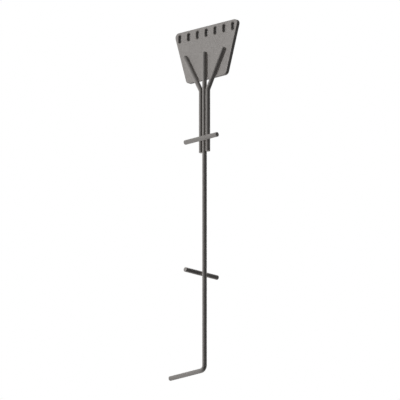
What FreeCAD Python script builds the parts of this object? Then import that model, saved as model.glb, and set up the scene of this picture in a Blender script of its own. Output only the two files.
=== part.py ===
# Plate anchor rod: a slotted plate carried by three round bars that are cast into a footing.
# All sizes are in millimetres.
# X runs along the plate, Y from the bars towards the plate, and Z up.
# The origin is where the centre line of the main rod meets that of its foot arm.

import FreeCAD, Part
import math
import os
import Sketcher

# Driving sizes, each set by itself
SIZES = {
    # Round bar, the same stock for all five bars
    "bar_diameter": 31.75,
    "bar_end_chamfer": 1.5,
    # Main rod: its top above the foot arm's centre line, and the arm's end from the rod's centre line
    "rod_top_height": 2222.5,
    "arm_length": 330.2,
    "foot_bend_radius": 34.0,
    # Side rods: the kink below the plate's lower edge, and the straight stretch below the kink
    "kink_below_plate": 82.55,
    "kink_bend_radius": 32.0,
    "splay_angle": 30.0,
    "side_rod_straight_length": 431.8,
    # Crossbars
    "upper_crossbar_length": 308.0,
    "crossbar_above_lap_end": 88.9,
    "lower_crossbar_length": 308.0,
    "lower_crossbar_height": 679.45,
    # Anchor plate: the bars lie on it over the height of the plate lap
    "plate_lap": 184.15,
    "plate_height": 368.3,
    "plate_top_width": 609.6,
    "plate_bottom_width": 374.65,
    "plate_thickness": 25.4,
    "top_corner_radius": 28.6,
    "bottom_corner_radius": 31.75,
    # Row of upright slots for the guys, placed from the plate's upper edge and its sharp upper corners
    "slot_count": 7,
    "slot_width": 25.4,
    "slot_length": 55.56,
    "slot_centre_below_edge": 44.45,
    "end_slot_from_corner": 52.38,
    # Welds: round beads that bite into the steel on both sides
    "weld_bead_radius": 4.6,
    "weld_bite": 3.2,
    "weld_setback": 8.0,
    "stitch_count": 4,
    "stitch_length": 60.0,
    "tack_length": 14.0,
}

# Expressions that several features share
BAR_RADIUS = "Sizes.bar_diameter / 2"
PLATE_BOTTOM = "(Sizes.rod_top_height - Sizes.plate_lap)"
SIDE_ROD_RISE = "(Sizes.plate_lap + Sizes.kink_below_plate)"
KINK_HEIGHT = f"(Sizes.rod_top_height - {SIDE_ROD_RISE})"
LAP_END_HEIGHT = f"({KINK_HEIGHT} - Sizes.side_rod_straight_length)"
UPPER_CROSSBAR_HEIGHT = f"({LAP_END_HEIGHT} + Sizes.crossbar_above_lap_end)"

# How far a bead's centre line stands off the steel that it is laid on
BEAD_STANDOFF = "(Sizes.weld_bead_radius - Sizes.weld_bite)"
# Sideways from a bar's centre line to a bead between that bar and the plate, or a bar that crosses it
SEAM_OFFSET = f"(2 * sqrt({BAR_RADIUS} * {BEAD_STANDOFF}))"
# Depth and lowest height of the beads on the plate's face
SEAM_DEPTH = f"{BAR_RADIUS} - {BEAD_STANDOFF}"
SEAM_START = f"{PLATE_BOTTOM} + Sizes.weld_setback"
# From the plane of two bars lying side by side to a bead in the groove between them
GROOVE_OFFSET = f"sqrt(Sizes.bar_diameter * {BEAD_STANDOFF} + {BEAD_STANDOFF} ^ 2)"

ALONG_X = FreeCAD.Vector(1, 0, 0)
ALONG_Y = FreeCAD.Vector(0, 1, 0)
ALONG_Z = FreeCAD.Vector(0, 0, 1)

doc = FreeCAD.newDocument("plate_anchor_rod")
subparts = []


# Sheet of driving sizes

def add_sheet():
    sheet = doc.addObject("Spreadsheet::Sheet", "Sizes")
    for row, (alias, value) in enumerate(SIZES.items(), start=1):
        sheet.set(f"A{row}", alias)
        sheet.set(f"B{row}", str(value))
        sheet.setAlias(f"B{row}", alias)
    doc.recompute()


# Helpers for bodies and sketches

def add_body(label):
    body = doc.addObject("PartDesign::Body", label)
    body.Label = label
    subparts.append(body)
    return body


def add_sketch(body, role, name):
    plane = next(item for item in body.Origin.OriginFeatures if item.Role == role)
    sketch = body.newObject("Sketcher::SketchObject", name)
    sketch.AttachmentSupport = [(plane, "")]
    sketch.MapMode = "FlatFace"
    return sketch


def flat(across, up):
    """A point of a sketch."""
    return FreeCAD.Vector(across, up, 0)


def bind(sketch, name, constraint, expression):
    """Adds a named constraint whose value follows the sheet."""
    index = sketch.addConstraint(constraint)
    sketch.renameConstraint(index, name)
    sketch.setExpression(f"Constraints.{name}", expression)


def join_ends(sketch, kind, pieces):
    """Joins each piece's end to the next one's start, all the way round."""
    for before, after in zip(pieces, pieces[1:] + pieces[:1]):
        sketch.addConstraint(Sketcher.Constraint(kind, before, 2, after, 1))


# Bars

def add_bar_section(body, name):
    """A circle of the bar's diameter on the body's Z axis."""
    diameter = SIZES["bar_diameter"]
    section = add_sketch(body, "XY_Plane", name)
    circle = section.addGeometry(Part.Circle(flat(0, 0), ALONG_Z, diameter / 2))
    section.addConstraint(Sketcher.Constraint("Coincident", circle, 3, -1, 1))
    bind(section, "diameter", Sketcher.Constraint("Diameter", circle, diameter), "Sizes.bar_diameter")
    return section


def chamfer_ends(body, bar, centres):
    """Breaks the rims of a bar's two ends, found by their centres."""
    rims = []
    for number, edge in enumerate(bar.Shape.Edges, start=1):
        curve = edge.Curve
        if isinstance(curve, Part.Circle) and any(curve.Center.isEqual(end, 0.01) for end in centres):
            rims.append(f"Edge{number}")
    chamfer = body.newObject("PartDesign::Chamfer", f"{body.Name}_ends")
    chamfer.Base = (bar, rims)
    chamfer.setExpression("Size", "Sizes.bar_end_chamfer")


def add_bent_bar(body, path, section, first_end, last_end):
    """Sweeps the section along the path; the ends are given as sketch geometry and its vertex."""
    pipe = body.newObject("PartDesign::AdditivePipe", f"{body.Name}_bar")
    pipe.Profile = section
    pipe.Spine = path
    doc.recompute()
    ends = [path.Placement.multVec(path.getPoint(*end)) for end in (first_end, last_end)]
    chamfer_ends(body, pipe, ends)


def add_main_rod():
    top, reach, radius = SIZES["rod_top_height"], SIZES["arm_length"], SIZES["foot_bend_radius"]
    body = add_body("main_rod")
    path = add_sketch(body, "XZ_Plane", "main_rod_path")
    shank = path.addGeometry(Part.LineSegment(flat(0, top), flat(0, radius)))
    bend_circle = Part.Circle(flat(-radius, radius), ALONG_Z, radius)
    bend = path.addGeometry(Part.ArcOfCircle(bend_circle, -math.pi / 2, 0))
    arm = path.addGeometry(Part.LineSegment(flat(-radius, 0), flat(-reach, 0)))
    path.addConstraint(Sketcher.Constraint("Tangent", shank, 2, bend, 2))
    path.addConstraint(Sketcher.Constraint("Tangent", bend, 1, arm, 1))
    path.addConstraint(Sketcher.Constraint("Vertical", shank))
    path.addConstraint(Sketcher.Constraint("Horizontal", arm))
    path.addConstraint(Sketcher.Constraint("PointOnObject", shank, 1, -2))
    path.addConstraint(Sketcher.Constraint("PointOnObject", arm, 2, -1))
    bind(path, "bend", Sketcher.Constraint("Radius", bend, radius), "Sizes.foot_bend_radius")
    bind(path, "rise", Sketcher.Constraint("DistanceY", -1, 1, shank, 1, top), "Sizes.rod_top_height")
    bind(path, "reach", Sketcher.Constraint("DistanceX", arm, 2, -1, 1, reach), "Sizes.arm_length")
    section = add_bar_section(body, "main_rod_section")
    section.setExpression("AttachmentOffset.Base.z", "Sizes.rod_top_height")
    add_bent_bar(body, path, section, (shank, 1), (arm, 2))
    return body


def add_side_rod(label, side, turn):
    """A side rod drawn about its own kink and splayed towards X, then turned to its side of the main rod."""
    straight, radius = SIZES["side_rod_straight_length"], SIZES["kink_bend_radius"]
    angle = math.radians(SIZES["splay_angle"])
    rise = SIZES["plate_lap"] + SIZES["kink_below_plate"]
    tangent = radius * math.tan(angle / 2)
    bend_end = flat(tangent * math.sin(angle), tangent * math.cos(angle))
    body = add_body(label)
    path = add_sketch(body, "XZ_Plane", f"{label}_path")
    shank = path.addGeometry(Part.LineSegment(flat(0, -straight), flat(0, -tangent)))
    bend_circle = Part.Circle(flat(radius, -tangent), ALONG_Z, radius)
    bend = path.addGeometry(Part.ArcOfCircle(bend_circle, math.pi - angle, math.pi))
    splay = path.addGeometry(Part.LineSegment(bend_end, flat(rise * math.tan(angle), rise)))
    path.addConstraint(Sketcher.Constraint("Tangent", shank, 2, bend, 2))
    path.addConstraint(Sketcher.Constraint("Tangent", bend, 1, splay, 1))
    path.addConstraint(Sketcher.Constraint("Vertical", shank))
    path.addConstraint(Sketcher.Constraint("PointOnObject", shank, 1, -2))
    path.addConstraint(Sketcher.Constraint("PointOnObject", -1, 1, splay))
    slope = Sketcher.Constraint("Angle", splay, math.pi / 2 - angle)
    bind(path, "slope", slope, "(90 - Sizes.splay_angle) * 1 deg")
    bind(path, "bend", Sketcher.Constraint("Radius", bend, radius), "Sizes.kink_bend_radius")
    below_kink = Sketcher.Constraint("DistanceY", shank, 1, -1, 1, straight)
    bind(path, "straight", below_kink, "Sizes.side_rod_straight_length")
    bind(path, "rise", Sketcher.Constraint("DistanceY", -1, 1, splay, 2, rise), SIDE_ROD_RISE)
    section = add_bar_section(body, f"{label}_section")
    section.setExpression("AttachmentOffset.Base.z", "-Sizes.side_rod_straight_length")
    add_bent_bar(body, path, section, (shank, 1), (splay, 2))
    body.Placement = FreeCAD.Placement(FreeCAD.Vector(), FreeCAD.Rotation(ALONG_Z, turn))
    body.setExpression("Placement.Base.x", f"{side} * Sizes.bar_diameter")
    body.setExpression("Placement.Base.z", KINK_HEIGHT)
    return body


def add_crossbar(label, length, turn_axis):
    """A straight bar centred on the body's origin, laid down by a quarter turn about the given axis."""
    body = add_body(label)
    bar = body.newObject("PartDesign::Pad", f"{label}_bar")
    bar.Profile = add_bar_section(body, f"{label}_section")
    bar.SideType = "Symmetric"
    bar.setExpression("Length", length)
    doc.recompute()
    end = ALONG_Z * (bar.Length.Value / 2)
    chamfer_ends(body, bar, [end, -end])
    body.Placement = FreeCAD.Placement(FreeCAD.Vector(), FreeCAD.Rotation(turn_axis, 90))
    return body


def add_upper_crossbar():
    body = add_crossbar("upper_crossbar", "Sizes.upper_crossbar_length", ALONG_Y)
    body.setExpression("Placement.Base.y", "-Sizes.bar_diameter")
    body.setExpression("Placement.Base.z", UPPER_CROSSBAR_HEIGHT)
    return body


def add_lower_crossbar():
    body = add_crossbar("lower_crossbar", "Sizes.lower_crossbar_length", ALONG_X)
    body.setExpression("Placement.Base.x", "-Sizes.bar_diameter")
    body.setExpression("Placement.Base.z", "Sizes.lower_crossbar_height")
    return body


# Anchor plate

def add_plate_outline(body):
    """The plate's face with sharp corners, its lower edge centred on the body's origin."""
    narrow, wide, tall = SIZES["plate_bottom_width"], SIZES["plate_top_width"], SIZES["plate_height"]
    corners = [flat(-narrow / 2, 0), flat(narrow / 2, 0), flat(wide / 2, tall), flat(-wide / 2, tall)]
    outline = add_sketch(body, "XZ_Plane", "plate_outline")
    ends = zip(corners, corners[1:] + corners[:1])
    sides = [outline.addGeometry(Part.LineSegment(start, end)) for start, end in ends]
    join_ends(outline, "Coincident", sides)
    bottom, top = sides[0], sides[2]
    outline.addConstraint(Sketcher.Constraint("Symmetric", bottom, 1, bottom, 2, -2))
    outline.addConstraint(Sketcher.Constraint("Symmetric", top, 1, top, 2, -2))
    outline.addConstraint(Sketcher.Constraint("PointOnObject", bottom, 1, -1))
    across_bottom = Sketcher.Constraint("DistanceX", bottom, 1, bottom, 2, narrow)
    bind(outline, "bottom_width", across_bottom, "Sizes.plate_bottom_width")
    across_top = Sketcher.Constraint("DistanceX", top, 2, top, 1, wide)
    bind(outline, "top_width", across_top, "Sizes.plate_top_width")
    bind(outline, "height", Sketcher.Constraint("DistanceY", -1, 1, top, 1, tall), "Sizes.plate_height")
    return outline


def add_slot_outline(body):
    """The row's first slot: two straight sides and two round ends."""
    radius = SIZES["slot_width"] / 2
    straight = SIZES["slot_length"] - SIZES["slot_width"]
    half_row = SIZES["plate_top_width"] / 2 - SIZES["end_slot_from_corner"]
    lower_end = SIZES["plate_height"] - SIZES["slot_centre_below_edge"] - straight / 2
    upper, lower, step = flat(-half_row, lower_end + straight), flat(-half_row, lower_end), flat(radius, 0)
    outline = add_sketch(body, "XZ_Plane", "slot_outline")
    top = outline.addGeometry(Part.ArcOfCircle(Part.Circle(upper, ALONG_Z, radius), 0, math.pi))
    left = outline.addGeometry(Part.LineSegment(upper - step, lower - step))
    bottom = outline.addGeometry(Part.ArcOfCircle(Part.Circle(lower, ALONG_Z, radius), math.pi, 2 * math.pi))
    right = outline.addGeometry(Part.LineSegment(lower + step, upper + step))
    join_ends(outline, "Tangent", [top, left, bottom, right])
    outline.addConstraint(Sketcher.Constraint("Equal", top, bottom))
    outline.addConstraint(Sketcher.Constraint("Vertical", left))
    bind(outline, "end_radius", Sketcher.Constraint("Radius", top, radius), "Sizes.slot_width / 2")
    apart = Sketcher.Constraint("DistanceY", bottom, 3, top, 3, straight)
    bind(outline, "straight", apart, "Sizes.slot_length - Sizes.slot_width")
    from_centre = Sketcher.Constraint("DistanceX", top, 3, -1, 1, half_row)
    bind(outline, "half_row", from_centre, "Sizes.plate_top_width / 2 - Sizes.end_slot_from_corner")
    from_bottom = Sketcher.Constraint("DistanceY", -1, 1, bottom, 3, lower_end)
    slot_centre = "Sizes.plate_height - Sizes.slot_centre_below_edge"
    bind(outline, "lower_end", from_bottom, f"{slot_centre} - (Sizes.slot_length - Sizes.slot_width) / 2")
    return outline


def corners_at(shape, height):
    """Names of the plate's edges through its thickness at the given height."""
    names = []
    for number, edge in enumerate(shape.Edges, start=1):
        first, last = [vertex.Point for vertex in edge.Vertexes]
        if abs(first.z - height) < 0.01 and first.isEqual(FreeCAD.Vector(last.x, first.y, last.z), 0.01):
            names.append(f"Edge{number}")
    return names


def round_corners(body, name, base, height, radius):
    fillet = body.newObject("PartDesign::Fillet", name)
    fillet.Base = (base, corners_at(base.Shape, height))
    fillet.setExpression("Radius", radius)
    doc.recompute()
    return fillet


def add_anchor_plate():
    body = add_body("anchor_plate")
    blank = body.newObject("PartDesign::Pad", "plate_blank")
    blank.Profile = add_plate_outline(body)
    blank.Reversed = True
    blank.setExpression("Length", "Sizes.plate_thickness")
    doc.recompute()
    top_height = blank.Shape.BoundBox.ZMax
    rounded_top = round_corners(body, "plate_top_corners", blank, top_height, "Sizes.top_corner_radius")
    rounded = round_corners(body, "plate_bottom_corners", rounded_top, 0, "Sizes.bottom_corner_radius")

    slot = body.newObject("PartDesign::Pocket", "first_slot")
    slot.Profile = add_slot_outline(body)
    slot.Type = "ThroughAll"
    doc.recompute()
    row = body.newObject("PartDesign::LinearPattern", "slot_row")
    row.Originals = [slot]
    row.Direction = (slot.Profile[0], ["H_Axis"])
    row.setExpression("Length", "Sizes.plate_top_width - 2 * Sizes.end_slot_from_corner")
    row.setExpression("Occurrences", "Sizes.slot_count")
    body.Tip = row
    doc.recompute()
    one_slot = rounded.Shape.Volume - slot.Shape.Volume
    all_slots = rounded.Shape.Volume - row.Shape.Volume
    if one_slot <= 0 or abs(all_slots / one_slot - row.Occurrences) > 0.001:
        raise RuntimeError("the slots are not all cut")

    body.setExpression("Placement.Base.y", BAR_RADIUS)
    body.setExpression("Placement.Base.z", PLATE_BOTTOM)
    return body


# Welds

def add_bead(name, length, start, turn_axis, angle):
    """A round bead along Z turned about an axis; start holds the expressions of its first end's centre."""
    bead = doc.addObject("Part::Cylinder", name)
    bead.setExpression("Radius", "Sizes.weld_bead_radius")
    bead.setExpression("Height", length)
    bead.Placement = FreeCAD.Placement(FreeCAD.Vector(), FreeCAD.Rotation(turn_axis, angle))
    for coordinate, expression in zip("xyz", start):
        bead.setExpression(f"Placement.Base.{coordinate}", expression)
    return bead


def add_weld(label, beads, carriers):
    """The part of the beads outside the steel that carries them."""
    metal = doc.addObject("Part::Compound", f"{label}_beads")
    metal.Links = beads
    for carrier in carriers:
        trimmed = doc.addObject("Part::Cut", f"{label}_on_{carrier.Name}")
        trimmed.Base = metal
        trimmed.Tool = carrier
        metal = trimmed
    metal.Label = label
    subparts.append(metal)


def add_main_rod_seams(main_rod, plate):
    """A seam on each side of the main rod, where it lies on the plate."""
    label = "main_rod_plate_weld"
    length = "Sizes.plate_lap - 2 * Sizes.weld_setback"
    beads = []
    for edge in (-1, 1):
        start = (f"{edge} * {SEAM_OFFSET}", SEAM_DEPTH, SEAM_START)
        beads.append(add_bead(f"{label}_seam_{len(beads) + 1}", length, start, ALONG_Z, 0))
    add_weld(label, beads, [main_rod, plate])


def add_side_rod_seams(label, side, side_rod, plate):
    """A seam on each side of a splayed rod, from the plate's lower edge almost to the rod's tip."""
    drift = "(Sizes.kink_below_plate + Sizes.weld_setback) * tan(Sizes.splay_angle)"
    beads = []
    for edge in (-1, 1):
        outward = f"{edge} * {SEAM_OFFSET}"
        across = f"Sizes.bar_diameter + {drift} + {outward} / cos(Sizes.splay_angle)"
        climb = f"(Sizes.plate_lap - Sizes.weld_setback - {outward} * sin(Sizes.splay_angle))"
        length = f"{climb} / cos(Sizes.splay_angle) - Sizes.weld_setback"
        start = (f"{side} * ({across})", SEAM_DEPTH, SEAM_START)
        name = f"{label}_seam_{len(beads) + 1}"
        bead = add_bead(name, length, start, ALONG_Y * side, SIZES["splay_angle"])
        bead.setExpression("Placement.Rotation.Angle", "Sizes.splay_angle * 1 deg")
        beads.append(bead)
    add_weld(label, beads, [side_rod, plate])


def add_lap_stitches(label, side, side_rod, main_rod):
    """Stitches in the groove on the plate's side, between a side rod and the main rod."""
    beads = []
    spare = "(Sizes.side_rod_straight_length - 2 * Sizes.weld_setback - Sizes.stitch_length)"
    for index in range(SIZES["stitch_count"]):
        height = f"{LAP_END_HEIGHT} + Sizes.weld_setback + {index} * {spare} / (Sizes.stitch_count - 1)"
        start = (f"{side} * {BAR_RADIUS}", GROOVE_OFFSET, height)
        beads.append(add_bead(f"{label}_stitch_{index + 1}", "Sizes.stitch_length", start, ALONG_Z, 0))
    add_weld(label, beads, [side_rod, main_rod])


def add_upper_crossbar_tacks(crossbar, rods):
    """A tack above and below the upper crossbar on each of the three rods."""
    label = "upper_crossbar_weld"
    beads = []
    for place in (-1, 0, 1):
        for edge in (-1, 1):
            across = f"{place} * Sizes.bar_diameter - Sizes.tack_length / 2"
            height = f"{UPPER_CROSSBAR_HEIGHT} + {edge} * {SEAM_OFFSET}"
            start = (across, f"-{BAR_RADIUS} - {BEAD_STANDOFF}", height)
            name = f"{label}_tack_{len(beads) + 1}"
            beads.append(add_bead(name, "Sizes.tack_length", start, ALONG_Y, 90))
    add_weld(label, beads, [crossbar] + rods)


def add_lower_crossbar_tacks(crossbar, main_rod):
    """A tack above and below the lower crossbar on the main rod."""
    label = "lower_crossbar_weld"
    beads = []
    for edge in (-1, 1):
        height = f"Sizes.lower_crossbar_height + {edge} * {SEAM_OFFSET}"
        start = (f"-{BAR_RADIUS} - {BEAD_STANDOFF}", "Sizes.tack_length / 2", height)
        name = f"{label}_tack_{len(beads) + 1}"
        beads.append(add_bead(name, "Sizes.tack_length", start, ALONG_X, 90))
    add_weld(label, beads, [crossbar, main_rod])


# Checks and files

def check_model():
    doc.recompute()
    failed = [item.Label for item in doc.Objects if "Invalid" in item.State or "Error" in item.State]
    failed += [item.Label for item in subparts if item.Shape.isNull() or not item.Shape.isValid()]
    if failed:
        raise RuntimeError(f"failed: {failed}")


def write_parts():
    os.makedirs("parts", exist_ok=True)
    for item in subparts:
        item.Shape.exportStep(os.path.join("parts", f"{item.Label}.step"))


add_sheet()
main_rod = add_main_rod()
right_side_rod = add_side_rod("right_side_rod", 1, 0)
left_side_rod = add_side_rod("left_side_rod", -1, 180)
upper_crossbar = add_upper_crossbar()
lower_crossbar = add_lower_crossbar()
anchor_plate = add_anchor_plate()
add_main_rod_seams(main_rod, anchor_plate)
add_side_rod_seams("right_rod_plate_weld", 1, right_side_rod, anchor_plate)
add_side_rod_seams("left_rod_plate_weld", -1, left_side_rod, anchor_plate)
add_lap_stitches("right_rod_lap_weld", 1, right_side_rod, main_rod)
add_lap_stitches("left_rod_lap_weld", -1, left_side_rod, main_rod)
add_upper_crossbar_tacks(upper_crossbar, [left_side_rod, main_rod, right_side_rod])
add_lower_crossbar_tacks(lower_crossbar, main_rod)
check_model()
write_parts()
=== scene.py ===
import math

import bpy
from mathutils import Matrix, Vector, geometry, noise


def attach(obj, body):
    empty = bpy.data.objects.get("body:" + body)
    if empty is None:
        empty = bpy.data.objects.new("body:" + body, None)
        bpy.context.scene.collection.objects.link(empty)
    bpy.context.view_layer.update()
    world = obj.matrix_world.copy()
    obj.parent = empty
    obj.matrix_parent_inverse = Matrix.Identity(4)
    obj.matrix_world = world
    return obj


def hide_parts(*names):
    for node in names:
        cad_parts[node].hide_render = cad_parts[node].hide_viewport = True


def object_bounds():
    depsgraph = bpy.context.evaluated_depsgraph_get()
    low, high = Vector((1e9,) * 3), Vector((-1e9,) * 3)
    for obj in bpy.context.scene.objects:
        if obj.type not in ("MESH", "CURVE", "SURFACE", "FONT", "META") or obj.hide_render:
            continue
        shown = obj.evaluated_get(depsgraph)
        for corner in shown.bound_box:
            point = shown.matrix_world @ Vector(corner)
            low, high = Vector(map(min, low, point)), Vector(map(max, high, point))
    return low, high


# Plate anchor rod in weathered galvanised steel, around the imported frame. All lengths are in metres.
# X runs along the plate, Y from the bars towards the plate, and Z up.
# The origin is where the centre line of the main rod meets that of its foot arm.

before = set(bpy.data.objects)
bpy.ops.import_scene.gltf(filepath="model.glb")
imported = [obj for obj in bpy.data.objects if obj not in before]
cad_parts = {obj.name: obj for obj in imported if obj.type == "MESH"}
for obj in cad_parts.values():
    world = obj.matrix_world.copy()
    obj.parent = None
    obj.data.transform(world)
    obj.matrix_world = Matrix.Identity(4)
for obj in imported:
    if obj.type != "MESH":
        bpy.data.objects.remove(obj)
cad_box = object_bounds()


# Sizes, as in the CAD source

BAR_RADIUS = 0.015875
BAR_END_CHAMFER = 0.0015
ROD_TOP_HEIGHT = 2.2225
ARM_LENGTH = 0.3302
FOOT_BEND_RADIUS = 0.034
KINK_BEND_RADIUS = 0.032
SPLAY_ANGLE = math.radians(30)
SIDE_ROD_STRAIGHT = 0.4318
PLATE_LAP = 0.18415
KINK_BELOW_PLATE = 0.08255
CROSSBAR_LENGTH = 0.308
CROSSBAR_ABOVE_LAP_END = 0.0889
LOWER_CROSSBAR_HEIGHT = 0.67945
PLATE_HEIGHT = 0.3683
PLATE_TOP_WIDTH = 0.6096
PLATE_BOTTOM_WIDTH = 0.37465
PLATE_THICKNESS = 0.0254
TOP_CORNER_RADIUS = 0.0286
BOTTOM_CORNER_RADIUS = 0.03175
SLOT_COUNT = 7
SLOT_WIDTH = 0.0254
SLOT_LENGTH = 0.05556
SLOT_CENTRE_BELOW_EDGE = 0.04445
END_SLOT_FROM_CORNER = 0.05238
BEAD_RADIUS = 0.0046
BEAD_STANDOFF = 0.0014
WELD_SETBACK = 0.008
STITCH_COUNT = 4
STITCH_LENGTH = 0.06
TACK_LENGTH = 0.014

PLATE_BOTTOM = ROD_TOP_HEIGHT - PLATE_LAP
PLATE_TOP = PLATE_BOTTOM + PLATE_HEIGHT
KINK_HEIGHT = PLATE_BOTTOM - KINK_BELOW_PLATE
LAP_END_HEIGHT = KINK_HEIGHT - SIDE_ROD_STRAIGHT
UPPER_CROSSBAR_HEIGHT = LAP_END_HEIGHT + CROSSBAR_ABOVE_LAP_END
SLOT_PITCH = (PLATE_TOP_WIDTH - 2 * END_SLOT_FROM_CORNER) / (SLOT_COUNT - 1)
SLOT_HEIGHT = PLATE_TOP - SLOT_CENTRE_BELOW_EDGE
SLOT_HALF_STRAIGHT = (SLOT_LENGTH - SLOT_WIDTH) / 2
SEAM_OFFSET = 2 * math.sqrt(BAR_RADIUS * BEAD_STANDOFF)
GROOVE_OFFSET = math.sqrt(2 * BAR_RADIUS * BEAD_STANDOFF + BEAD_STANDOFF ** 2)

ALONG_X = Vector((1, 0, 0))
ALONG_Y = Vector((0, 1, 0))
ALONG_Z = Vector((0, 0, 1))


def direction(azimuth, elevation):
    """Unit vector at angles in degrees. Azimuth 0 is in front of the rods, and 90 at the plate's X end."""
    turn = math.radians(azimuth)
    rise = math.radians(elevation)
    return Vector((math.sin(turn) * math.cos(rise), -math.cos(turn) * math.cos(rise), math.sin(rise)))


# Camera, at the photograph's view, which looks up at the part from below

PHOTO_SIDE = 400
METRES_PER_PIXEL = 0.0067625
VIEW_AZIMUTH = 45
VIEW_ELEVATION = -14.849
CAMERA_DISTANCE = 5
# Where the origin lies in the photograph, in pixels right of its centre and below it
ORIGIN_RIGHT = 4.548
ORIGIN_BELOW = 169.797


def add_camera():
    back = direction(VIEW_AZIMUTH, VIEW_ELEVATION)
    turn = (-back).to_track_quat("-Z", "Y")
    right = turn @ ALONG_X
    up = turn @ ALONG_Y
    centre = (up * ORIGIN_BELOW - right * ORIGIN_RIGHT) * METRES_PER_PIXEL
    data = bpy.data.cameras.new("photo_view")
    data.type = "ORTHO"
    data.ortho_scale = PHOTO_SIDE * METRES_PER_PIXEL
    data.clip_start = 0.1
    data.clip_end = 100
    camera = bpy.data.objects.new("photo_view", data)
    camera.rotation_euler = turn.to_euler()
    camera.location = centre + back * CAMERA_DISTANCE
    bpy.context.scene.collection.objects.link(camera)
    bpy.context.scene.camera = camera


# Node graphs

class Graph:
    """A node tree with short calls for the nodes that the materials use."""

    def __init__(self, tree):
        self.tree = tree
        self.tree.nodes.clear()

    def node(self, kind, settings=None, **inputs):
        made = self.tree.nodes.new(kind)
        for key, value in (settings or {}).items():
            setattr(made, key, value)
        for key, value in inputs.items():
            self.feed(made.inputs[key.replace("_", " ")], value)
        return made

    def feed(self, socket, value):
        if isinstance(value, bpy.types.NodeSocket):
            self.tree.links.new(value, socket)
        else:
            socket.default_value = value

    def math(self, operation, first, second=0.0, clamp=False):
        made = self.node("ShaderNodeMath", {"operation": operation, "use_clamp": clamp})
        self.feed(made.inputs[0], first)
        self.feed(made.inputs[1], second)
        return made.outputs[0]

    def vector_math(self, operation, first, second):
        made = self.node("ShaderNodeVectorMath", {"operation": operation})
        self.feed(made.inputs[0], first)
        self.feed(made.inputs[1], second)
        return made.outputs["Value"] if operation in ("DOT_PRODUCT", "LENGTH") else made.outputs["Vector"]

    def square(self, value):
        return self.math("MULTIPLY", value, value)

    def swing(self, value, width):
        """Turns a value from 0 to 1 into one that swings about zero by half the width each way."""
        return self.math("MULTIPLY", self.math("SUBTRACT", value, 0.5), width)

    def spread(self, value, low, high, to_low, to_high, smooth=False):
        """Carries the range from low to high over to another one, and clamps it."""
        kind = "SMOOTHSTEP" if smooth else "LINEAR"
        made = self.node("ShaderNodeMapRange", {"interpolation_type": kind, "clamp": True}, Value=value)
        for name, number in (("From Min", low), ("From Max", high), ("To Min", to_low), ("To Max", to_high)):
            self.feed(made.inputs[name], number)
        return made.outputs["Result"]

    def noise(self, vector, scale, detail, roughness, distortion=0.0):
        made = self.node("ShaderNodeTexNoise", Vector=vector, Scale=scale, Detail=detail)
        made.inputs["Roughness"].default_value = roughness
        made.inputs["Distortion"].default_value = distortion
        return made.outputs["Fac"]

    def cells(self, vector, scale):
        """A random number for each of the crystals that fill the surface."""
        made = self.node("ShaderNodeTexVoronoi", {"feature": "F1"}, Vector=vector, Scale=scale)
        parts = self.node("ShaderNodeSeparateColor", Color=made.outputs["Color"])
        return parts.outputs[0]

    def blend(self, share, first, second):
        made = self.node("ShaderNodeMix", {"data_type": "RGBA"})
        self.feed(made.inputs[0], share)
        self.feed(made.inputs[6], first)
        self.feed(made.inputs[7], second)
        return made.outputs[2]

    def blend_shaders(self, share, first, second):
        made = self.node("ShaderNodeMixShader")
        self.feed(made.inputs[0], share)
        self.feed(made.inputs[1], first.outputs[0])
        self.feed(made.inputs[2], second.outputs[0])
        return made

    def sum(self, parts):
        total = parts[0]
        for part in parts[1:]:
            total = self.math("ADD", total, part)
        return total


# Steel finishes

LIGHT_ZINC = (0.315, 0.298, 0.284, 1)
DARK_ZINC = (0.205, 0.192, 0.183, 1)
PALE_OXIDE = (0.420, 0.408, 0.392, 1)
# A deep dark colour for pits, for dirt and for painted shade
DEEP_GRIME_AND_SHADE = (0.095, 0.084, 0.074, 1)
# The zinc's usual shade, where 0 is the dark one and 1 the light one
MIDDLE_SHADE = 0.62
METAL_SHARE = 0.05
GLOSS = 0.2
WEATHERED_ROUGHNESS = (0.56, 0.76)
WORN_ROUGHNESS = (0.50, 0.68)
ROUGH_CUT = (0.60, 0.80)
BUMP_STRENGTH = 0.6
BUMP_DISTANCE = 0.0007

# Marks in the zinc, as features per metre
CLOUD_SCALE = 7.0
BLOTCH_SCALE = 38.0
CRYSTAL_SCALE = 75.0
CHALK_SCALE = 120.0
NEEDLE_SCALE = 230.0
PIT_SCALE = 260.0
GRAIN_SCALE = 900.0
# The wobble that bends the borders of the crystals
WOBBLE_SCALE = 55.0
WOBBLE_REACH = 0.016

# Streaks, as features per metre in each direction
MILL_STREAKS = (170.0, 170.0, 5.0)
FINE_MILL_STREAKS = (420.0, 420.0, 6.0)
DRAG_STREAKS = (760.0, 30.0, 760.0)
SAW_STREAKS = (90.0, 1500.0, 90.0)
RAIN_STREAKS = (55.0, 55.0, 3.0)

# Dirt round an edge, and painted shade with it at the rods' joints: how far outside it the dark line fades
# from and to, and how far the haze reaches
SHADE_AND_DIRT_AT_RODS = (-0.008, -0.001, 0.010)
GRIME_AT_SLOTS = (0.003, 0.0065, 0.011)
DIRT_AND_SHADE_LINE_SHARE = 0.9
DIRT_AND_SHADE_HAZE_SHARE = 0.10
DIRT_AND_SHADE_RAGGEDNESS = 0.009
# Painted shade with dirt in the valleys between bars: how far from the line where they touch it fades from
# and to
SHADE_AND_DIRT_IN_VALLEYS = (0.6 * BAR_RADIUS, 1.15 * BAR_RADIUS)
VALLEY_START = (LAP_END_HEIGHT - 0.02, LAP_END_HEIGHT + 0.01)
VALLEY_END = (KINK_HEIGHT, KINK_HEIGHT + 0.06)


def tinted(colour, tint):
    return (*(number * tint for number in colour[:3]), 1)


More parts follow.
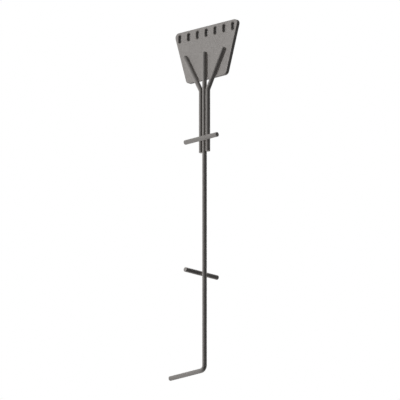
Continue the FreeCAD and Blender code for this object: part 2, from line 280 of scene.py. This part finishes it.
def add_steel(
    name, place, shades=(), reliefs=(), dirt_and_shade=None, shade_shift=0.0, tint=1.0, roughness=WEATHERED_ROUGHNESS
):
    """Weathered zinc with crystals, clouds, chalky specks and pits, in the coordinates that place gives.

    Shades and reliefs are streaks that it has besides, and the dark mask after them gives the share of dirt
    and painted shade.
    """
    material = bpy.data.materials.new(name)
    material.use_nodes = True
    graph = Graph(material.node_tree)
    where = place(graph)
    wobble = graph.node("ShaderNodeTexNoise", Vector=where, Scale=WOBBLE_SCALE, Detail=2.0)
    centred = graph.vector_math("SUBTRACT", wobble.outputs["Color"], (0.5, 0.5, 0.5))
    shift = graph.vector_math("MULTIPLY", centred, (WOBBLE_REACH, WOBBLE_REACH, WOBBLE_REACH))
    warped = graph.vector_math("ADD", where, shift)
    crystals = graph.cells(warped, CRYSTAL_SCALE)
    needles = graph.cells(warped, NEEDLE_SCALE)
    clouds = graph.noise(where, CLOUD_SCALE, 5.0, 0.6)
    blotches = graph.noise(where, BLOTCH_SCALE, 4.0, 0.6, 0.6)
    grain = graph.noise(where, GRAIN_SCALE, 3.0, 0.6)
    chalk = graph.noise(where, CHALK_SCALE, 6.0, 0.7, 0.4)
    pits = graph.spread(graph.noise(where, PIT_SCALE, 3.0, 0.5), 0.71, 0.77, 0.0, 0.45, True)

    marks = ((crystals, 0.26), (needles, 0.34), (clouds, 0.55), (blotches, 0.40), (grain, 0.30))
    shade = [graph.swing(mark, width) for mark, width in marks]
    shade += [part(graph, where) for part in shades]
    level = graph.math("ADD", graph.sum(shade), MIDDLE_SHADE + shade_shift, clamp=True)
    colour = graph.blend(level, tinted(DARK_ZINC, tint), tinted(LIGHT_ZINC, tint))
    colour = graph.blend(graph.spread(chalk, 0.64, 0.74, 0.0, 0.4, True), colour, tinted(PALE_OXIDE, tint))
    colour = graph.blend(pits, colour, DEEP_GRIME_AND_SHADE)
    # Dirt and painted shade darken the colour towards the deep dark one
    if dirt_and_shade:
        colour = graph.blend(dirt_and_shade(graph, where), colour, DEEP_GRIME_AND_SHADE)

    marks = ((blotches, 0.35), (grain, 0.08), (crystals, 0.08), (pits, -0.4))
    heights = [graph.math("MULTIPLY", mark, height) for mark, height in marks]
    heights += [part(graph, where) for part in reliefs]
    height = graph.sum(heights)
    bump = graph.node("ShaderNodeBump", Height=height, Strength=BUMP_STRENGTH, Distance=BUMP_DISTANCE)
    rough = graph.math("MULTIPLY", graph.math("ADD", crystals, blotches), 0.5)
    rough = graph.spread(rough, 0.25, 0.75, *roughness)
    shader = graph.node("ShaderNodeBsdfPrincipled", Normal=bump.outputs["Normal"], Roughness=rough)
    graph.feed(shader.inputs["Base Color"], colour)
    shader.inputs["Metallic"].default_value = METAL_SHARE
    shader.inputs["Specular IOR Level"].default_value = GLOSS
    graph.node("ShaderNodeOutputMaterial", Surface=shader.outputs["BSDF"])
    return material


def row_frame(graph):
    """Coordinates in the row frame."""
    return graph.node("ShaderNodeTexCoord").outputs["Object"]


def along_bar(graph):
    """Coordinates of the bar as it was before it was bent, with Z along it."""
    return graph.node("ShaderNodeAttribute", {"attribute_name": "unbent"}).outputs["Vector"]


def streaks(scale, width):
    """Noise that has its own scale in each direction."""
    def part(graph, where):
        scaled = graph.vector_math("MULTIPLY", where, scale)
        return graph.swing(graph.noise(scaled, 1.0, 3.0, 0.55), width)
    return part


def round_off(graph, first, second, radius):
    """How far a place is outside two crossing lines whose corner is rounded off."""
    past = [graph.math("MAXIMUM", graph.math("ADD", away, radius), 0.0) for away in (first, second)]
    squares = [graph.square(way) for way in past]
    return graph.math("SUBTRACT", graph.math("SQRT", graph.sum(squares)), radius)


def beside_rods(graph, where):
    """How far a place on the plate is outside the nearest of the three rods that are welded to it."""
    nearest = None
    for side in (-1, 0, 1):
        kink = ALONG_X * 2 * BAR_RADIUS * side + ALONG_Z * KINK_HEIGHT
        slope = Vector((math.sin(SPLAY_ANGLE * side), 0, math.cos(SPLAY_ANGLE * side)))
        normal = Vector((slope.z, 0, -slope.x))
        tip = kink + slope * (ROD_TOP_HEIGHT - KINK_HEIGHT) / slope.z
        across = graph.vector_math("DOT_PRODUCT", where, tuple(normal))
        across = graph.math("SUBTRACT", across, kink.dot(normal))
        to_side = graph.math("SUBTRACT", graph.math("ABSOLUTE", across), BAR_RADIUS)
        above = graph.math("SUBTRACT", graph.vector_math("DOT_PRODUCT", where, tuple(slope)), tip.dot(slope))
        away = round_off(graph, to_side, above, 0.7 * BAR_RADIUS)
        nearest = graph.math("MINIMUM", nearest, away) if nearest else away
    return nearest


def beside_slots(graph, where):
    """How far a place on the plate is outside the nearest slot."""
    parts = graph.node("ShaderNodeSeparateXYZ", Vector=where).outputs
    across = graph.math("PINGPONG", parts["X"], SLOT_PITCH / 2)
    height = graph.math("ABSOLUTE", graph.math("SUBTRACT", parts["Z"], SLOT_HEIGHT))
    past = graph.math("MAXIMUM", graph.math("SUBTRACT", height, SLOT_HALF_STRAIGHT), 0.0)
    spoke = graph.math("SQRT", graph.math("ADD", graph.square(across), graph.square(past)))
    return graph.math("SUBTRACT", spoke, SLOT_WIDTH / 2)


def plate_dirt_and_shade(graph, where):
    """Painted shade with dirt in the joint round the welded rods, and dirt round the slots, dense at the
    joint and broken up.
    """
    broken = graph.spread(graph.noise(where, 60.0, 5.0, 0.65), 0.3, 0.6, 0.55, 1.0)
    ragged = graph.swing(graph.noise(where, 110.0, 5.0, 0.7), DIRT_AND_SHADE_RAGGEDNESS)
    masks = []
    for away, (dense, clear, hazy) in (
        (beside_rods(graph, where), SHADE_AND_DIRT_AT_RODS),
        (beside_slots(graph, where), GRIME_AT_SLOTS),
    ):
        line = graph.spread(graph.math("ADD", away, ragged), dense, clear, DIRT_AND_SHADE_LINE_SHARE, 0.0, True)
        haze = graph.spread(away, 0.0, hazy, DIRT_AND_SHADE_HAZE_SHARE, 0.0, True)
        masks.append(graph.math("MAXIMUM", line, haze))
    at_rods, at_slots = masks
    depth = graph.vector_math("DOT_PRODUCT", where, tuple(ALONG_Y))
    on_front = graph.math("LESS_THAN", depth, BAR_RADIUS + PLATE_THICKNESS / 2)
    at_rods = graph.math("MULTIPLY", at_rods, on_front)
    return graph.math("MULTIPLY", graph.math("MAXIMUM", at_rods, at_slots), broken)


def valley_shade_and_dirt(graph, where):
    """Painted shade with dirt in the valleys between the three bars, which fades out at the lap ends and
    above the kinks.
    """
    place = graph.node("ShaderNodeSeparateXYZ", Vector=row_frame(graph)).outputs
    aside = graph.math("SUBTRACT", graph.math("ABSOLUTE", place["X"]), BAR_RADIUS)
    away = graph.math("SQRT", graph.math("ADD", graph.square(aside), graph.square(place["Y"])))
    valley = graph.spread(away, *SHADE_AND_DIRT_IN_VALLEYS, 1.0, 0.0, True)
    started = graph.spread(place["Z"], *VALLEY_START, 0.0, 1.0, True)
    lasting = graph.spread(place["Z"], *VALLEY_END, 1.0, 0.0, True)
    broken = graph.spread(graph.noise(where, 45.0, 5.0, 0.65), 0.3, 0.6, 0.55, 0.9)
    inside = graph.math("MULTIPLY", started, lasting)
    return graph.math("MULTIPLY", graph.math("MULTIPLY", valley, broken), inside)


def add_materials():
    rain = streaks(RAIN_STREAKS, 0.25)
    drag = streaks(DRAG_STREAKS, 0.7)
    drag_relief = streaks(DRAG_STREAKS, 1.6)
    mill = streaks(MILL_STREAKS, 0.5)
    mill_relief = streaks(FINE_MILL_STREAKS, 0.5)
    saw = streaks(SAW_STREAKS, 0.8)
    saw_relief = streaks(SAW_STREAKS, 1.4)
    return {
        # The face gets painted shade with dirt at the rods' joints, and dirt round the slots
        "plate_face": add_steel("plate_face", row_frame, [rain], dirt_and_shade=plate_dirt_and_shade),
        "plate_rim": add_steel("plate_rim", row_frame, shade_shift=0.08, roughness=WORN_ROUGHNESS),
        # The cut edges are painted at 0.6 of the zinc's colour: painted shade on the plate's narrow sides
        "plate_edge": add_steel("plate_edge", row_frame, [drag], [drag_relief], tint=0.6),
        # The slot walls are painted at half the zinc's colour and a step darker: painted shade inside the
        # slots, with darker flame-cut scale
        "slot_wall": add_steel(
            "slot_wall", row_frame, [drag], [drag_relief], shade_shift=-0.1, tint=0.5, roughness=ROUGH_CUT
        ),
        # The bars get painted shade with dirt in the valleys between them
        "bar": add_steel("bar", along_bar, [mill], [mill_relief], dirt_and_shade=valley_shade_and_dirt, tint=0.85),
        "bar_end": add_steel("bar_end", along_bar, [saw], [saw_relief], roughness=WORN_ROUGHNESS),
        "weld": add_steel("weld", row_frame, shade_shift=-0.05),
    }


# Meshes

# The angle between faces from which an edge is seen as one
SHARP_ANGLE = math.radians(32)


def add_piece(name, node, points, faces, choices, materials, unbent=None, sharp=()):
    """A mesh piece that stands for a CAD node. Choices holds the number of each face's material."""
    mesh = bpy.data.meshes.new(name)
    mesh.from_pydata(points, [], faces)
    mesh.polygons.foreach_set("material_index", choices)
    if unbent:
        layer = mesh.attributes.new("unbent", "FLOAT_VECTOR", "POINT")
        layer.data.foreach_set("vector", [number for point in unbent for number in point])
    mesh.shade_smooth()
    mesh.set_sharp_from_angle(angle=SHARP_ANGLE)
    if sharp:
        pairs = set(sharp)
        for edge in mesh.edges:
            if frozenset(edge.vertices) in pairs:
                edge.use_edge_sharp = True
    for material in materials:
        mesh.materials.append(material)
    mesh.validate()
    piece = bpy.data.objects.new(name, mesh)
    bpy.context.scene.collection.objects.link(piece)
    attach(piece, "root")
    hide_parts(node)


def strip(first, second, count):
    """Faces between two closed rings that start at the given vertex numbers."""
    return [(first + k, first + (k + 1) % count, second + (k + 1) % count, second + k) for k in range(count)]


# Bars

BAR_SEGMENTS = 48
BAR_STEP = 0.01
FOOT_BEND_STEPS = 20
KINK_BEND_STEPS = 8
# How much the rolled bar's surface dips
BAR_WAVE = 0.0001


def line_points(start, end):
    count = max(1, round((end - start).length / BAR_STEP))
    return [start.lerp(end, k / count) for k in range(count + 1)]


def arc_points(centre, start, end, count):
    """Points between two equal spokes from a centre, without the two ends."""
    first = start - centre
    turn = first.rotation_difference(end - centre)
    across = turn.axis.cross(first)
    angles = [turn.angle * k / count for k in range(1, count)]
    return [centre + first * math.cos(angle) + across * math.sin(angle) for angle in angles]


def wave(place, seed):
    """A shallow unevenness of rolled bar, from 0 to 1."""
    near = noise.noise(Vector((place.x * 22, place.y * 22, place.z * 9 + seed)))
    far = noise.noise(Vector((place.x * 60, place.y * 60, place.z * 31 - seed)))
    return min(1.0, max(0.0, 0.5 + 0.45 * near + 0.25 * far))


def add_bar(node, path, flat_normal, materials, seed):
    """A round bar with chamfered ends, along a path in one plane. The seed gives each bar its own marks."""
    steps = [after - before for before, after in zip(path, path[1:])]
    lengths = [0.0]
    for step in steps:
        lengths.append(lengths[-1] + step.length)
    headings = [step.normalized() for step in steps]
    tangents = [(a + b).normalized() for a, b in zip(headings, headings[1:])]
    tangents = [headings[0]] + tangents + [headings[-1]]

    # Each ring's centre, direction, radius and place along the bar
    chamfer = BAR_END_CHAMFER
    rings = [
        (path[0], tangents[0], BAR_RADIUS - chamfer, 0.0),
        (path[0] + tangents[0] * chamfer, tangents[0], BAR_RADIUS, chamfer),
    ]
    for place, tangent, along in list(zip(path, tangents, lengths))[1:-1]:
        rings.append((place, tangent, BAR_RADIUS, along))
    rings.append((path[-1] - tangents[-1] * chamfer, tangents[-1], BAR_RADIUS, lengths[-1] - chamfer))
    rings.append((path[-1], tangents[-1], BAR_RADIUS - chamfer, lengths[-1]))

    points, unbent, faces, choices = [], [], [], []
    side, rim, end = range(3)
    for place, tangent, radius, along in rings:
        across = tangent.cross(flat_normal)
        for k in range(BAR_SEGMENTS):
            angle = math.tau * k / BAR_SEGMENTS
            spoke = flat_normal * math.cos(angle) + across * math.sin(angle)
            straight = Vector((math.cos(angle) * radius, math.sin(angle) * radius, along))
            depth = BAR_WAVE * wave(straight, seed) if radius == BAR_RADIUS else 0
            points.append(place + spoke * (radius - depth))
            unbent.append(straight + ALONG_Z * seed)
    last = len(rings) - 1
    for number in range(last):
        faces += strip(number * BAR_SEGMENTS, (number + 1) * BAR_SEGMENTS, BAR_SEGMENTS)
        choices += [rim if number in (0, last - 1) else side] * BAR_SEGMENTS
    for number in (0, last):
        place, tangent, radius, along = rings[number]
        points.append(place)
        unbent.append(Vector((0, 0, along + seed)))
        hub = len(points) - 1
        first = number * BAR_SEGMENTS
        for k in range(BAR_SEGMENTS):
            pair = (first + k, first + (k + 1) % BAR_SEGMENTS)
            faces.append((hub, *pair) if number else (hub, *reversed(pair)))
            choices.append(end)
    looks = [materials[look] for look in ("bar", "plate_rim", "bar_end")]
    add_piece(f"{node}_bar", node, points, faces, choices, looks, unbent)


def add_bars(materials):
    top = ALONG_Z * ROD_TOP_HEIGHT
    bend_top = ALONG_Z * FOOT_BEND_RADIUS
    bend_foot = -ALONG_X * FOOT_BEND_RADIUS
    path = line_points(top, bend_top)
    path += arc_points(bend_top + bend_foot, bend_top, bend_foot, FOOT_BEND_STEPS)
    path += line_points(bend_foot, -ALONG_X * ARM_LENGTH)
    add_bar("main_rod", path, ALONG_Y, materials, 1)

    tangent = KINK_BEND_RADIUS * math.tan(SPLAY_ANGLE / 2)
    rise = PLATE_LAP + KINK_BELOW_PLATE
    for side, node, seed in ((-1, "left_side_rod", 2), (1, "right_side_rod", 4)):
        kink = ALONG_Z * KINK_HEIGHT + ALONG_X * 2 * BAR_RADIUS * side
        slope = ALONG_X * math.sin(SPLAY_ANGLE) * side + ALONG_Z * math.cos(SPLAY_ANGLE)
        bend_start = kink - ALONG_Z * tangent
        bend_end = kink + slope * tangent
        centre = bend_start + ALONG_X * KINK_BEND_RADIUS * side
        tip = kink + slope * rise / math.cos(SPLAY_ANGLE)
        path = line_points(kink - ALONG_Z * SIDE_ROD_STRAIGHT, bend_start)
        path += arc_points(centre, bend_start, bend_end, KINK_BEND_STEPS)
        path += line_points(bend_end, tip)
        add_bar(node, path, ALONG_Y, materials, seed)

    upper = ALONG_Z * UPPER_CROSSBAR_HEIGHT - ALONG_Y * 2 * BAR_RADIUS
    lower = ALONG_Z * LOWER_CROSSBAR_HEIGHT - ALONG_X * 2 * BAR_RADIUS
    for node, middle, along, seed in (
        ("upper_crossbar", upper, ALONG_X, 6),
        ("lower_crossbar", lower, ALONG_Y, 7),
    ):
        reach = along * CROSSBAR_LENGTH / 2
        add_bar(node, line_points(middle - reach, middle + reach), ALONG_Z, materials, seed)


# Anchor plate

PLATE_EDGE_RADIUS = 0.0007
EDGE_STEPS = 4
CORNER_STEPS = 14
SLOT_END_STEPS = 18


def fan(centre, radius, start, end, count):
    """Points of an arc in the plate's plane, as pairs of X and Z."""
    angles = [start + (end - start) * k / count for k in range(count + 1)]
    return [(centre[0] + radius * math.cos(a), centre[1] + radius * math.sin(a)) for a in angles]


def plate_loop(inset):
    """The plate's outline drawn in by inset, counter-clockwise as seen with X to the right and Z up."""
    lean = math.atan2((PLATE_TOP_WIDTH - PLATE_BOTTOM_WIDTH) / 2, PLATE_HEIGHT)
    corners = (
        (-1, PLATE_BOTTOM, PLATE_BOTTOM_WIDTH, BOTTOM_CORNER_RADIUS),
        (1, PLATE_BOTTOM, PLATE_BOTTOM_WIDTH, BOTTOM_CORNER_RADIUS),
        (1, PLATE_TOP, PLATE_TOP_WIDTH, TOP_CORNER_RADIUS),
        (-1, PLATE_TOP, PLATE_TOP_WIDTH, TOP_CORNER_RADIUS),
    )
    points = []
    for side, height, width, radius in corners:
        upward = 1 if height == PLATE_TOP else -1
        centre_z = height - upward * radius
        wall = width / 2 + (centre_z - height) * math.tan(lean) - radius / math.cos(lean)
        # The arc runs between the directions square to the level edge and to the leaning one
        level = math.pi / 2 * upward
        leaning = -lean if side > 0 else math.pi + lean
        if side < 0 and upward < 0:
            start, end = leaning, level + 2 * math.pi
        elif side == upward:
            start, end = leaning, level
        else:
            start, end = level, leaning
        points += fan((side * wall, centre_z), radius - inset, start, end, CORNER_STEPS)
    return points


def slot_loop(middle, inset):
    """A slot's outline widened by inset, clockwise."""
    radius = SLOT_WIDTH / 2 + inset
    upper = fan((middle, SLOT_HEIGHT + SLOT_HALF_STRAIGHT), radius, math.pi, 0, SLOT_END_STEPS)
    lower = fan((middle, SLOT_HEIGHT - SLOT_HALF_STRAIGHT), radius, 0, -math.pi, SLOT_END_STEPS)
    return upper + lower


def plate_layers():
    """The rounded edges' steps from the front face to the back one, as pairs of inset and depth."""
    front = BAR_RADIUS
    back = BAR_RADIUS + PLATE_THICKNESS
    levels = []
    for k in range(EDGE_STEPS + 1):
        angle = math.pi / 2 * k / EDGE_STEPS
        levels.append((PLATE_EDGE_RADIUS * (1 - math.sin(angle)), PLATE_EDGE_RADIUS * (1 - math.cos(angle))))
    layers = [(inset, front + depth) for inset, depth in levels]
    return layers + [(inset, back - depth) for inset, depth in reversed(levels)]


def add_plate(materials):
    middles = [SLOT_PITCH * (k - (SLOT_COUNT - 1) / 2) for k in range(SLOT_COUNT)]
    loops = [plate_loop] + [lambda inset, middle=middle: slot_loop(middle, inset) for middle in middles]
    layers = plate_layers()
    last = len(layers) - 1
    points, faces, choices, sharp, starts = [], [], [], [], []
    face, rim, edge, slot_wall = range(4)
    for loop in loops:
        count = len(loop(0))
        first = len(points)
        starts.append((first, count))
        for inset, depth in layers:
            points += [(x, depth, z) for x, z in loop(inset)]
        for layer in range(last):
            faces += strip(first + (layer + 1) * count, first + layer * count, count)
            if loop is not plate_loop:
                choices += [slot_wall] * count
            else:
                choices += [edge if layer == EDGE_STEPS else rim] * count
        for layer in (0, EDGE_STEPS, EDGE_STEPS + 1, last):
            ring = first + layer * count
            sharp += [frozenset((ring + k, ring + (k + 1) % count)) for k in range(count)]
    for layer, facing in ((0, -1), (last, 1)):
        numbers = [start + layer * count + k for start, count in starts for k in range(count)]
        outlines = []
        for start, count in starts:
            ring = start + layer * count
            outlines.append([Vector((points[ring + k][0], points[ring + k][2], 0)) for k in range(count)])
        for triple in geometry.tessellate_polygon(outlines):
            corner = [numbers[k] for k in triple]
            a, b, c = (Vector(points[k]) for k in corner)
            outward = (b - a).cross(c - a).y * facing > 0
            faces.append(tuple(corner) if outward else tuple(reversed(corner)))
            choices.append(face)
    looks = [materials[look] for look in ("plate_face", "plate_rim", "plate_edge", "slot_wall")]
    name = "anchor_plate_slotted"
    add_piece(name, "anchor_plate", points, faces, choices, looks, sharp=sharp)


# Welds

BEAD_SEGMENTS = 24
RIPPLE_STEPS = 7
RIPPLE_PITCH = 0.0031
RIPPLE_DEPTH = 0.0005
# How far the ripples trail back at the bead's rim, in bead radii
RIPPLE_TRAIL = 0.9
# How much the bead's width wavers along it
BEAD_WAVER = 0.0005
# The radius that the bead still has at its tips, as a share of its own
BEAD_TIP_SHARE = 0.35


def add_beads(node, beads, materials):
    """Rippled beads with rounded ends. Each bead is its start, its end and the way that it faces."""
    points, faces = [], []
    for number, (start, end, outward) in enumerate(beads):
        axis = (end - start).normalized()
        length = (end - start).length
        face = (outward - axis * outward.dot(axis)).normalized()
        side = axis.cross(face)
        seed = 17.3 * number + len(node)
        count = round(length / RIPPLE_PITCH * RIPPLE_STEPS)
        first = len(points)
        for ring in range(count + 1):
            along = length * ring / count
            from_end = min(1.0, min(along, length - along) / BEAD_RADIUS)
            cap = math.sqrt(max(0.0, 1 - (1 - from_end) ** 2))
            jitter = noise.noise(Vector((along * 130, seed, 0.3))) * 0.35
            for k in range(BEAD_SEGMENTS):
                angle = math.tau * k / BEAD_SEGMENTS
                lag = RIPPLE_TRAIL * BEAD_RADIUS * (1 - math.cos(angle))
                lobe = abs(math.sin(math.pi * ((along + lag) / RIPPLE_PITCH + jitter))) ** 0.6
                waver = noise.noise(Vector((along * 70, math.cos(angle), math.sin(angle) + seed)))
                radius = BEAD_RADIUS - RIPPLE_DEPTH * (1 - lobe) - BEAD_WAVER * (0.5 + 0.5 * waver)
                radius *= BEAD_TIP_SHARE + (1 - BEAD_TIP_SHARE) * cap
                spoke = face * math.cos(angle) + side * math.sin(angle)
                points.append(start + axis * along + spoke * radius)
        for ring in range(count):
            faces += strip(first + ring * BEAD_SEGMENTS, first + (ring + 1) * BEAD_SEGMENTS, BEAD_SEGMENTS)
        for ring in (0, count):
            rim = [first + ring * BEAD_SEGMENTS + k for k in range(BEAD_SEGMENTS)]
            faces.append(tuple(rim) if ring else tuple(reversed(rim)))
    add_piece(f"{node}_beads", node, points, faces, [0] * len(faces), [materials["weld"]])


def add_plate_welds(materials):
    """Seams on both sides of each rod on the plate."""
    depth = ALONG_Y * (BAR_RADIUS - BEAD_STANDOFF)
    seam_start = ALONG_Z * (PLATE_BOTTOM + WELD_SETBACK)
    beads = []
    for edge in (-1, 1):
        start = ALONG_X * SEAM_OFFSET * edge + depth + seam_start
        beads.append((start, start + ALONG_Z * (PLATE_LAP - 2 * WELD_SETBACK), ALONG_X * edge - ALONG_Y))
    add_beads("main_rod_plate_weld", beads, materials)

    drift = (KINK_BELOW_PLATE + WELD_SETBACK) * math.tan(SPLAY_ANGLE)
    for side, node in ((-1, "left_rod_plate_weld"), (1, "right_rod_plate_weld")):
        slope = ALONG_X * math.sin(SPLAY_ANGLE) * side + ALONG_Z * math.cos(SPLAY_ANGLE)
        beads = []
        for edge in (-1, 1):
            outward = edge * SEAM_OFFSET
            across = 2 * BAR_RADIUS + drift + outward / math.cos(SPLAY_ANGLE)
            climb = PLATE_LAP - WELD_SETBACK - outward * math.sin(SPLAY_ANGLE)
            length = climb / math.cos(SPLAY_ANGLE) - WELD_SETBACK
            start = ALONG_X * across * side + depth + seam_start
            away = ALONG_X * math.cos(SPLAY_ANGLE) * side * edge - ALONG_Z * math.sin(SPLAY_ANGLE) * edge
            beads.append((start, start + slope * length, away - ALONG_Y))
        add_beads(node, beads, materials)


def add_lap_welds(materials):
    """Stitches behind the main rod, in the grooves between it and the side rods."""
    spare = SIDE_ROD_STRAIGHT - 2 * WELD_SETBACK - STITCH_LENGTH
    for side, node in ((-1, "left_rod_lap_weld"), (1, "right_rod_lap_weld")):
        beads = []
        for index in range(STITCH_COUNT):
            height = LAP_END_HEIGHT + WELD_SETBACK + index * spare / (STITCH_COUNT - 1)
            start = ALONG_X * BAR_RADIUS * side + ALONG_Y * GROOVE_OFFSET + ALONG_Z * height
            beads.append((start, start + ALONG_Z * STITCH_LENGTH, ALONG_Y))
        add_beads(node, beads, materials)


def add_crossbar_welds(materials):
    """Tacks above and below the crossbars, where they cross the rods."""
    beads = []
    for place in (-1, 0, 1):
        for edge in (-1, 1):
            middle = ALONG_X * place * 2 * BAR_RADIUS - ALONG_Y * (BAR_RADIUS + BEAD_STANDOFF)
            middle += ALONG_Z * (UPPER_CROSSBAR_HEIGHT + edge * SEAM_OFFSET)
            reach = ALONG_X * TACK_LENGTH / 2
            beads.append((middle - reach, middle + reach, ALONG_Z * edge - ALONG_Y))
    add_beads("upper_crossbar_weld", beads, materials)

    beads = []
    for edge in (-1, 1):
        middle = ALONG_Z * (LOWER_CROSSBAR_HEIGHT + edge * SEAM_OFFSET)
        middle -= ALONG_X * (BAR_RADIUS + BEAD_STANDOFF)
        reach = ALONG_Y * TACK_LENGTH / 2
        beads.append((middle - reach, middle + reach, ALONG_Z * edge - ALONG_X))
    add_beads("lower_crossbar_weld", beads, materials)


# Floor, world and lamps

FLOOR_SEGMENTS = 96
FLOOR_RADIUS = 9
FLOOR_COLOUR = (0.8, 0.8, 0.8, 1)
FLOOR_FADE = (1.6, 5.0)
WHITE = (1, 1, 1, 1)
FILL_LEVEL = 0.10
LAMP_DISTANCE = 4

# Each lamp's azimuth, elevation, level, spread and whether it casts shadows, with the angles in degrees.
# A level of 1 shows a surface that faces the lamp as its colour is written.
LAMPS = {
    "key_upper": (-40, 28, 0.87, 15, False),
    "key_lower": (-78, -48, 0.75, 20, False),
    "top": (205, 62, 0.52, 20, True),
    "back": (188, 20, 0.55, 40, True),
}


def add_floor():
    """A pale floor at the part's lowest level, which fades into the white and is clear from below."""
    angles = [math.tau * k / FLOOR_SEGMENTS for k in range(FLOOR_SEGMENTS)]
    points = [(FLOOR_RADIUS * math.cos(angle), FLOOR_RADIUS * math.sin(angle), 0) for angle in angles]
    mesh = bpy.data.meshes.new("floor")
    mesh.from_pydata(points, [], [tuple(range(FLOOR_SEGMENTS))])
    floor = bpy.data.objects.new("floor", mesh)
    floor.location.z = cad_box[0].z
    floor.visible_diffuse = False
    floor.visible_shadow = False
    bpy.context.scene.collection.objects.link(floor)
    material = bpy.data.materials.new("pale_floor")
    material.use_nodes = True
    graph = Graph(material.node_tree)
    away = graph.vector_math("LENGTH", row_frame(graph), (0, 0, 0))
    fade = graph.spread(away, *FLOOR_FADE, 0.0, 1.0, True)
    below = graph.node("ShaderNodeNewGeometry").outputs["Backfacing"]
    paint = graph.node("ShaderNodeBsdfDiffuse", Color=FLOOR_COLOUR)
    white = graph.node("ShaderNodeEmission", Color=WHITE, Strength=1.0)
    clear = graph.node("ShaderNodeBsdfTransparent")
    surface = graph.blend_shaders(below, graph.blend_shaders(fade, paint, white), clear)
    graph.node("ShaderNodeOutputMaterial", Surface=surface.outputs[0])
    mesh.materials.append(material)


def add_world():
    """White behind everything, and a low even fill for what the lamps don't reach."""
    world = bpy.data.worlds.new("studio")
    world.use_nodes = True
    bpy.context.scene.world = world
    graph = Graph(world.node_tree)
    rays = graph.node("ShaderNodeLightPath").outputs
    seen = graph.math("ADD", rays["Is Camera Ray"], rays["Is Glossy Ray"], clamp=True)
    seen = graph.math("ADD", seen, rays["Is Transmission Ray"], clamp=True)
    fill = graph.node("ShaderNodeBackground", Color=WHITE, Strength=FILL_LEVEL)
    white = graph.node("ShaderNodeBackground", Color=WHITE, Strength=1.0)
    surface = graph.blend_shaders(seen, fill, white)
    graph.node("ShaderNodeOutputWorld", Surface=surface.outputs[0])


def add_lamps():
    for name, (azimuth, elevation, level, spread, shadow) in LAMPS.items():
        towards = direction(azimuth, elevation)
        data = bpy.data.lights.new(name, "SUN")
        data.energy = math.pi * level
        data.angle = math.radians(spread)
        data.use_shadow = shadow
        lamp = bpy.data.objects.new(name, data)
        lamp.location = towards * LAMP_DISTANCE
        lamp.rotation_euler = towards.to_track_quat("Z", "Y").to_euler()
        bpy.context.scene.collection.objects.link(lamp)


add_camera()
add_floor()
add_world()
add_lamps()
finishes = add_materials()
add_bars(finishes)
add_plate(finishes)
add_plate_welds(finishes)
add_lap_welds(finishes)
add_crossbar_welds(finishes)

bpy.context.scene.view_settings.view_transform = "Standard"
